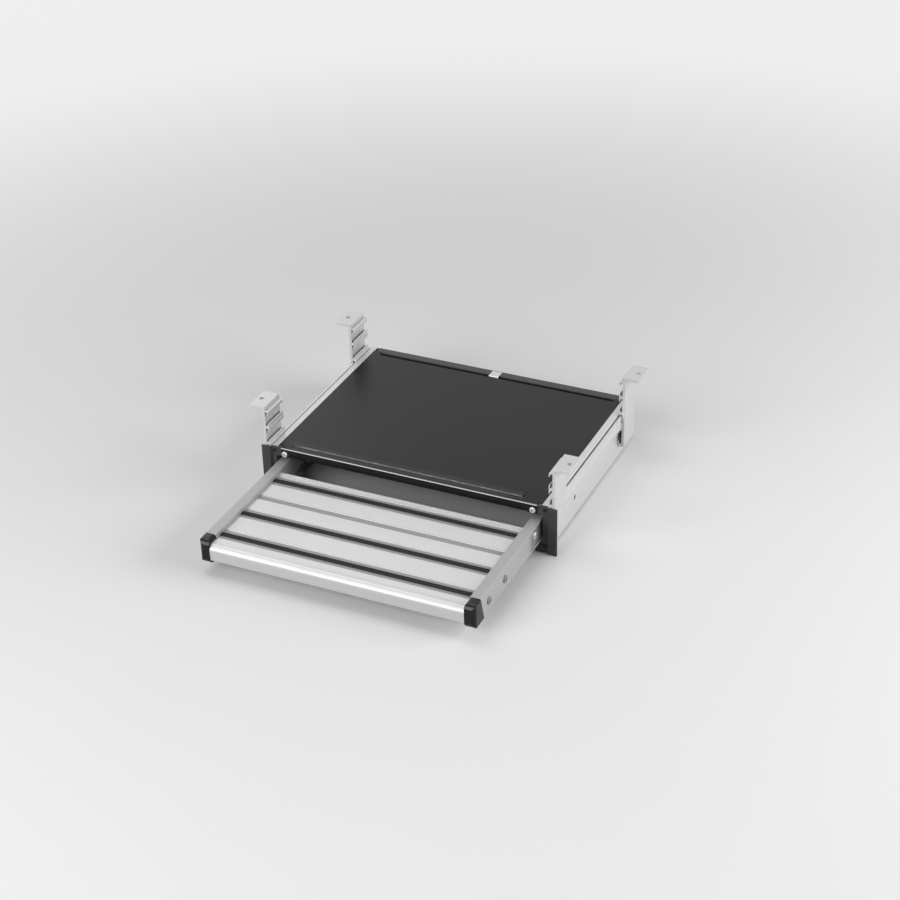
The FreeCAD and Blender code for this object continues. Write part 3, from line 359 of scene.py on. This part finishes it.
def arm_screws(name, s):
    """Screws in the arms: rougher than the bright screws, in a darker copy of their colour as painted shade.
    """
    return metal(name, s.arm_screw_colour, 0.5, s.metal_share, EVEN, 0.15, edge=0.0002, reach=0.003,
                 depth=1.0)


def carriage_steel(name, s):
    """Zinc-plated steel of the carriage bars."""
    return metal(name, s.carriage_colour, 0.4, s.metal_share, EVEN, 0.12)


def cover_black(name, s):
    """Smooth powder coat of the cover, glossy on its fold and bead."""
    return coat(name, s.cover_colour, s.cover_roughness, s.cover_gloss, bump=0.1, folds=True)


def frame_black(name, s):
    """Textured powder coat of the end plates and the crossbar."""
    return coat(name, s.frame_colour, 0.42, 0.4)


def screw_black(name, s):
    """Black oxide of the screws in the end plates and the crossbar."""
    return coat(name, s.dark_colour, 0.5, 0.3, bump=0.1, edge=0.0002)


def grip_rubber(name, s):
    """Rubber of the tread's strips."""
    return coat(name, s.rubber_colour, 0.75, 0.2, scale=2400.0, bump=0.4, edge=0.0002)


def stop_rubber(name, s):
    """Rubber of the blocks that stop the wheels."""
    return coat(name, s.dark_colour, 0.8, 0.2, scale=2400.0, bump=0.4)


def wheel_plastic(name, s):
    """Nylon of the wheels."""
    return coat(name, s.wheel_colour, 0.5, 0.4, bump=0.1)


def cap_plastic(name, s):
    """Gloss black plastic of the corner caps."""
    return coat(name, s.cap_colour, s.cap_roughness, 0.3, scale=600.0, bump=0.05, edge=0.0008)


# Each finish has the name of the material slot, or of the node, that it dresses
PROFILES = (rail_aluminium, bracket_aluminium, arm_aluminium, plank_aluminium)
SHEETS = (cover_black, frame_black)
HARDWARE = (clip_steel, screw_zinc, arm_screws, carriage_steel, screw_black)
MOULDINGS = (grip_rubber, stop_rubber, wheel_plastic, cap_plastic)


def look_of(part):
    """Name of a carried-over node's finish: its own, or that of its material slot."""
    return part["node"] if part["node"] in OWN_LOOKS else part["material_slot"]


def dress(finishes, settings):
    """Gives each of the finishes to the carried-over nodes that have it."""
    written = {finish.__name__: finish for finish in finishes}
    made = {}
    for part in frame["record"]["subparts"]:
        look = look_of(part)
        if look not in written:
            continue
        if look not in made:
            made[look] = written[look](look, settings)
        node = frame["nodes"].get(part["node"])
        if node is None:
            raise RuntimeError("the packed model has no node " + part["node"])
        node.data.materials.clear()
        node.data.materials.append(made[look])


def colour_property(name, text, value):
    return bpy.props.FloatVectorProperty(name=name, description=text, subtype="COLOR", size=3,
                                         min=0.0, max=1.0, default=value)


def share_property(name, text, value):
    return bpy.props.FloatProperty(name=name, description=text, subtype="FACTOR", min=0.0, max=1.0,
                                   default=value)


def length_property(name, text, value):
    return bpy.props.FloatProperty(name=name, description=text, unit="LENGTH", default=value)


def power_property(name, text, value):
    return bpy.props.FloatProperty(name=name, description=text, unit="POWER", min=0.0, default=value)


def angle_property(name, text, degrees):
    return bpy.props.FloatProperty(name=name, description=text, unit="ROTATION",
                                   default=math.radians(degrees))


class StepFinishSettings(bpy.types.PropertyGroup):
    """Colours and roughnesses of the step's finishes."""

    rail_colour: colour_property("Rails", "Mill-finish aluminium of the side rails", (0.60, 0.60, 0.605))
    bracket_colour: colour_property("Brackets", "Mill-finish aluminium of the brackets", (0.58, 0.575, 0.585))
    rail_roughness: share_property("Rail roughness", "Roughness of the mill finish", 0.42)
    arm_colour: colour_property("Arms", "Anodised aluminium of the arms", (0.385, 0.385, 0.387))
    arm_roughness: share_property("Arm roughness", "Roughness of the arms", 0.42)
    plank_colour: colour_property("Planks", "Anodised aluminium of the tread", (0.51, 0.51, 0.51))
    plank_roughness: share_property("Plank roughness", "Roughness of the tread", 0.40)
    band_colour: colour_property("Bands", "Smooth bands sunk into the tread", (0.31, 0.31, 0.31))
    band_roughness: share_property("Band roughness", "Roughness of the smooth bands", 0.58)
    anodised_share: share_property("Anodised", "How far the arms mirror rather than scatter", 0.25)
    carriage_colour: colour_property("Carriage", "Zinc-plated steel of the carriage bars", (0.34, 0.34, 0.34))
    metal_share: share_property("Metal", "How far bare metal mirrors rather than scatters", 0.45)
    clip_colour: colour_property("Clip", "Spring steel of the rear clip", (0.60, 0.60, 0.58))
    screw_colour: colour_property("Screws", "Zinc plate of the bright screws", (0.66, 0.66, 0.67))
    # painted shade: the arm screws' colour is a darker copy of the zinc plate
    arm_screw_colour: colour_property("Arm screws", "Duller plate of the arms' screws", (0.22, 0.22, 0.22))
    cover_colour: colour_property("Cover", "Powder coat of the cover", (0.010, 0.010, 0.011))
    cover_roughness: share_property("Cover roughness", "Roughness of the cover", 0.30)
    cover_gloss: share_property("Cover gloss", "Specular level of the cover", 0.16)
    frame_colour: colour_property("Plates", "Powder coat of the plates and the crossbar", (0.03, 0.03, 0.031))
    dark_colour: colour_property("Dark parts", "Black oxide and stop rubber", (0.008, 0.008, 0.008))
    rubber_colour: colour_property("Grip strips", "Rubber of the tread's strips", (0.024, 0.024, 0.025))
    wheel_colour: colour_property("Wheels", "Nylon of the wheels", (0.72, 0.71, 0.66))
    cap_colour: colour_property("Caps", "Plastic of the corner caps", (0.002, 0.002, 0.002))
    cap_roughness: share_property("Cap roughness", "Roughness of the corner caps", 0.12)


class StepStudioSettings(bpy.types.PropertyGroup):
    """Lamps, floor and camera of the studio."""

    top_power: power_property("Top light", "Large softbox overhead", 12.0)
    back_power: power_property("Back light", "Softbox behind on the left", 4.0)
    right_power: power_property("Right light", "Softbox on the right", 68.0)
    front_power: power_property("Front light", "Low softbox in front", 74.0)
    sky_strength: share_property("Sky", "Strength of the even light all round", 0.2)
    floor_height: length_property("Floor", "Height of the studio floor in the part's frame", -0.1556)
    camera_distance: length_property("Camera distance", "From the cover's fold along the view", 3.20389)
    camera_across: length_property("Camera across", "Sideways offset of the view", 0.0701336)
    camera_up: length_property("Camera up", "Upward offset of the view", 0.0406593)
    camera_azimuth: angle_property("Camera azimuth", "Turn about Z from straight in front", 25.0922)
    camera_elevation: angle_property("Camera elevation", "Angle above the horizon", 30.9116)
    camera_roll: angle_property("Camera roll", "Turn about the view line", -1.3239)
    camera_lens: bpy.props.FloatProperty(name="Camera lens", description="Focal length in millimetres",
                                         subtype="DISTANCE_CAMERA", default=81.324)


class SLIDESTEP_OT_profiles(bpy.types.Operator):
    """Finishes the extruded rails, brackets, arms and planks"""

    bl_idname = "slidestep.profiles"
    bl_label = "Extruded profiles"

    def execute(self, context):
        dress(PROFILES, context.scene.step_finishes)
        return {"FINISHED"}


class SLIDESTEP_OT_sheets(bpy.types.Operator):
    """Finishes the black cover, end plates and crossbar"""

    bl_idname = "slidestep.sheets"
    bl_label = "Coated sheets"

    def execute(self, context):
        dress(SHEETS, context.scene.step_finishes)
        return {"FINISHED"}


class SLIDESTEP_OT_hardware(bpy.types.Operator):
    """Finishes the clip, the screws, the axles and the carriage bars"""

    bl_idname = "slidestep.hardware"
    bl_label = "Hardware"

    def execute(self, context):
        dress(HARDWARE, context.scene.step_finishes)
        return {"FINISHED"}


class SLIDESTEP_OT_mouldings(bpy.types.Operator):
    """Finishes the rubber strips and stops, the wheels and the corner caps"""

    bl_idname = "slidestep.mouldings"
    bl_label = "Rubber and plastic"

    def execute(self, context):
        dress(MOULDINGS, context.scene.step_finishes)
        return {"FINISHED"}


class SLIDESTEP_OT_stage(bpy.types.Operator):
    """Builds the studio: floor, lights, background and camera"""

    bl_idname = "slidestep.stage"
    bl_label = "Studio"

    def execute(self, context):
        s = context.scene.step_studio
        self.floor(context.scene, s)
        self.lights(context.scene, s)
        self.world(context.scene, s)
        self.camera(context.scene, s)
        context.scene.view_settings.view_transform = "Standard"
        return {"FINISHED"}

    def floor(self, scene, s):
        """Keeps the shadow near the step and fades into a white backdrop."""
        size = 9.0
        mesh = bpy.data.meshes.new("studio_floor")
        corners = [(-size, -size), (size, -size), (size, size), (-size, size)]
        mesh.from_pydata([(x, y, s.floor_height) for x, y in corners], [], [(0, 1, 2, 3)])
        floor = bpy.data.objects.new("studio_floor", mesh)
        scene.collection.objects.link(floor)
        made, tree, shader = new_material("studio_floor")
        place = object_place(tree)
        inputs = {"Vector": place, "Scale": 3.0, "Detail": 3.0}
        noise = add(tree, "ShaderNodeTexNoise", inputs).outputs["Fac"]
        tone = add(tree, "ShaderNodeMapRange", {"Value": noise, "To Min": 0.79, "To Max": 0.81})
        tree.links.new(tone.outputs[0], shader.inputs["Base Color"])
        shader.inputs["Roughness"].default_value = 0.9
        shader.inputs["Specular IOR Level"].default_value = 0.1
        away = add(tree, "ShaderNodeVectorMath", {0: place}, operation="LENGTH").outputs["Value"]
        pale = fade(tree, away, PALE_START, PALE_END, 0.0, 1.0)
        haze = fade(tree, away, PALE_END, HAZE_END, 0.86, 1.0)
        seen = calculate(tree, "MULTIPLY", pale, background_rays(tree))
        glow = add(tree, "ShaderNodeEmission", {"Color": WHITE, "Strength": haze}).outputs[0]
        mixed = add(tree, "ShaderNodeMixShader", {0: seen, 1: shader.outputs[0], 2: glow})
        output = next(node for node in tree.nodes if node.type == "OUTPUT_MATERIAL")
        tree.links.new(mixed.outputs[0], output.inputs[0])
        mesh.materials.append(made)

    def lights(self, scene, s):
        """Four softboxes, each with its place, width, height and power."""
        for name, place, width, height, power in (
            ("top_light", (-0.9, 0.0, 2.2), 1.2, 1.6, s.top_power),
            ("back_light", (-2.1, 2.0, 1.5), 1.4, 1.4, s.back_power),
            ("right_light", (2.6, 0.3, 0.9), 2.2, 1.6, s.right_power),
            ("front_light", (-1.0, -2.7, 1.0), 2.4, 2.2, s.front_power),
        ):
            data = bpy.data.lights.new(name, "AREA")
            data.shape = "RECTANGLE"
            data.size = width
            data.size_y = height
            data.energy = power
            lamp = bpy.data.objects.new(name, data)
            lamp.location = place
            toward = Vector(LAMP_AIM) - Vector(place)
            lamp.rotation_mode = "QUATERNION"
            lamp.rotation_quaternion = toward.to_track_quat("-Z", "Y")
            scene.collection.objects.link(lamp)

    def world(self, scene, s):
        """Even soft light, and plain white where the background itself is seen."""
        world = bpy.data.worlds.new("studio")
        scene.world = world
        world.use_nodes = True
        tree = world.node_tree
        tree.nodes.clear()
        soft = add(tree, "ShaderNodeBackground", {"Color": SKY, "Strength": s.sky_strength}).outputs[0]
        plain = add(tree, "ShaderNodeBackground", {"Color": WHITE, "Strength": 1.0}).outputs[0]
        mixed = add(tree, "ShaderNodeMixShader", {0: background_rays(tree), 1: soft, 2: plain})
        output = add(tree, "ShaderNodeOutputWorld")
        tree.links.new(mixed.outputs[0], output.inputs["Surface"])

    def camera(self, scene, s):
        """Looks at the step as the photo does, from off the middle of the cover's fold."""
        azimuth, elevation, roll = s.camera_azimuth, s.camera_elevation, s.camera_roll
        level = math.cos(elevation)
        back = Vector((math.sin(azimuth) * level, -math.cos(azimuth) * level, math.sin(elevation)))
        right = Vector((0.0, 0.0, 1.0)).cross(back).normalized()
        up = back.cross(right)
        turned_right = math.cos(roll) * right + math.sin(roll) * up
        turned_up = math.cos(roll) * up - math.sin(roll) * right
        centre = Vector((0.0, FOLD_Y, COVER_Z)) + turned_right * s.camera_across
        centre = centre + turned_up * s.camera_up + back * s.camera_distance
        data = bpy.data.cameras.new("camera")
        data.sensor_width = 36.0
        data.lens = s.camera_lens
        data.clip_start = 0.05
        data.clip_end = 60.0
        camera = bpy.data.objects.new("camera", data)
        turn = Matrix((turned_right, turned_up, back)).transposed()
        camera.matrix_world = Matrix.Translation(centre) @ turn.to_4x4()
        scene.collection.objects.link(camera)
        scene.camera = camera


OPERATORS = (
    SLIDESTEP_OT_profiles,
    SLIDESTEP_OT_sheets,
    SLIDESTEP_OT_hardware,
    SLIDESTEP_OT_mouldings,
    SLIDESTEP_OT_stage,
)


class SLIDESTEP_PT_panel(bpy.types.Panel):
    """Colours and lights of the step, and its building steps"""

    bl_idname = "SLIDESTEP_PT_panel"
    bl_label = "Slide-out step"
    bl_space_type = "VIEW_3D"
    bl_region_type = "UI"
    bl_category = "Slide-out step"

    def draw(self, context):
        for settings in (context.scene.step_finishes, context.scene.step_studio):
            for name in type(settings).__annotations__:
                self.layout.prop(settings, name)
        for operator in OPERATORS:
            self.layout.operator(operator.bl_idname)


CLASSES = (StepFinishSettings, StepStudioSettings, *OPERATORS, SLIDESTEP_PT_panel)


def register():
    for item in CLASSES:
        bpy.utils.register_class(item)
    bpy.types.Scene.step_finishes = bpy.props.PointerProperty(type=StepFinishSettings)
    bpy.types.Scene.step_studio = bpy.props.PointerProperty(type=StepStudioSettings)


def unregister():
    del bpy.types.Scene.step_studio
    del bpy.types.Scene.step_finishes
    for item in reversed(CLASSES):
        bpy.utils.unregister_class(item)


def check_looks():
    """Raises an error where a carried-over node's finish isn't written."""
    written = {finish.__name__ for finish in (*PROFILES, *SHEETS, *HARDWARE, *MOULDINGS)}
    bare = [part["node"] for part in frame["record"]["subparts"] if look_of(part) not in written]
    if bare:
        raise RuntimeError("no finish is written for " + ", ".join(bare))


def main():
    check_looks()
    register()
    bpy.ops.slidestep.profiles()
    bpy.ops.slidestep.sheets()
    bpy.ops.slidestep.hardware()
    bpy.ops.slidestep.mouldings()
    bpy.ops.slidestep.stage()


if __name__ == "__main__":
    main()
